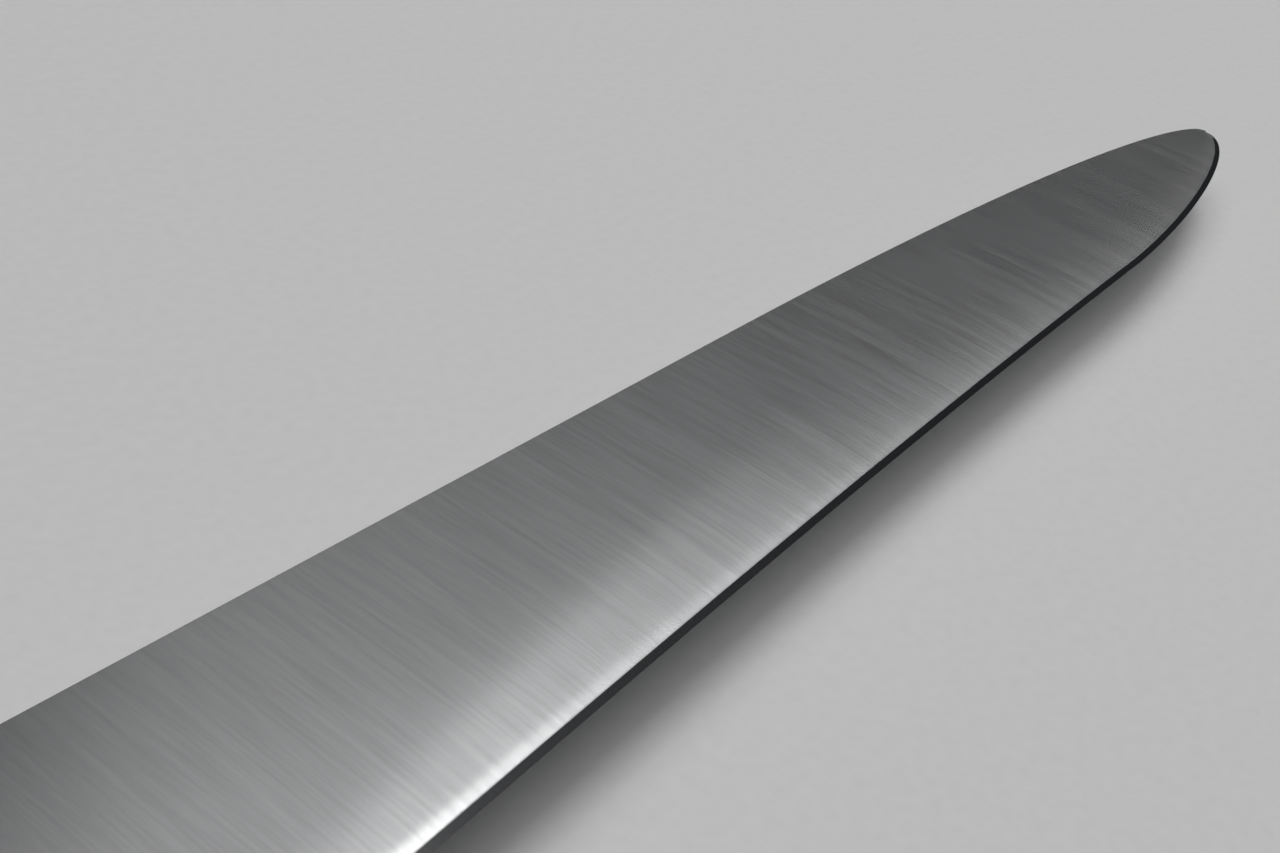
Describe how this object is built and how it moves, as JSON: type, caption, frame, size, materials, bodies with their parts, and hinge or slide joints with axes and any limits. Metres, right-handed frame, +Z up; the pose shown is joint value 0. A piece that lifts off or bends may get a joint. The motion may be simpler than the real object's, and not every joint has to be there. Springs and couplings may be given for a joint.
{
  "type": "skiving knife",
  "caption": "Leather skiving knife with a long slender blade, convex ground edge, rounded tip, steel bolsters and a riveted wooden handle.",
  "frame": {"origin": "on the flat of the lower cheek, at the middle of the handle's length", "axes": "+X along the blade towards the tip, +Y across the blade towards the spine, +Z up, square to the blade's faces, out of the upper cheek"},
  "size_m": [0.328, 0.0298, 0.0186],
  "materials": {
    "steel_blade": "satin, ground across the blade",
    "steel_bolster": "fine satin",
    "steel_pin": "fine satin",
    "fibre_liner": "matt",
    "wood_scale": "oiled, satin",
    "brass_fastener": "fine satin"
  },
  "bodies": {
    "root": {"blade": "steel_blade", "bolster_upper": "steel_bolster", "bolster_lower": "steel_bolster", "bolster_pin_spine": "steel_pin", "bolster_pin_edge": "steel_pin", "liner_upper": "fibre_liner", "liner_lower": "fibre_liner", "scale_upper": "wood_scale", "scale_lower": "wood_scale", "rivet_socket_front": "brass_fastener", "rivet_socket_middle": "brass_fastener", "rivet_socket_rear": "brass_fastener", "rivet_pin_front": "brass_fastener", "rivet_pin_middle": "brass_fastener", "rivet_pin_rear": "brass_fastener", "lanyard_tube": "brass_fastener"}
  },
  "joints": []
}
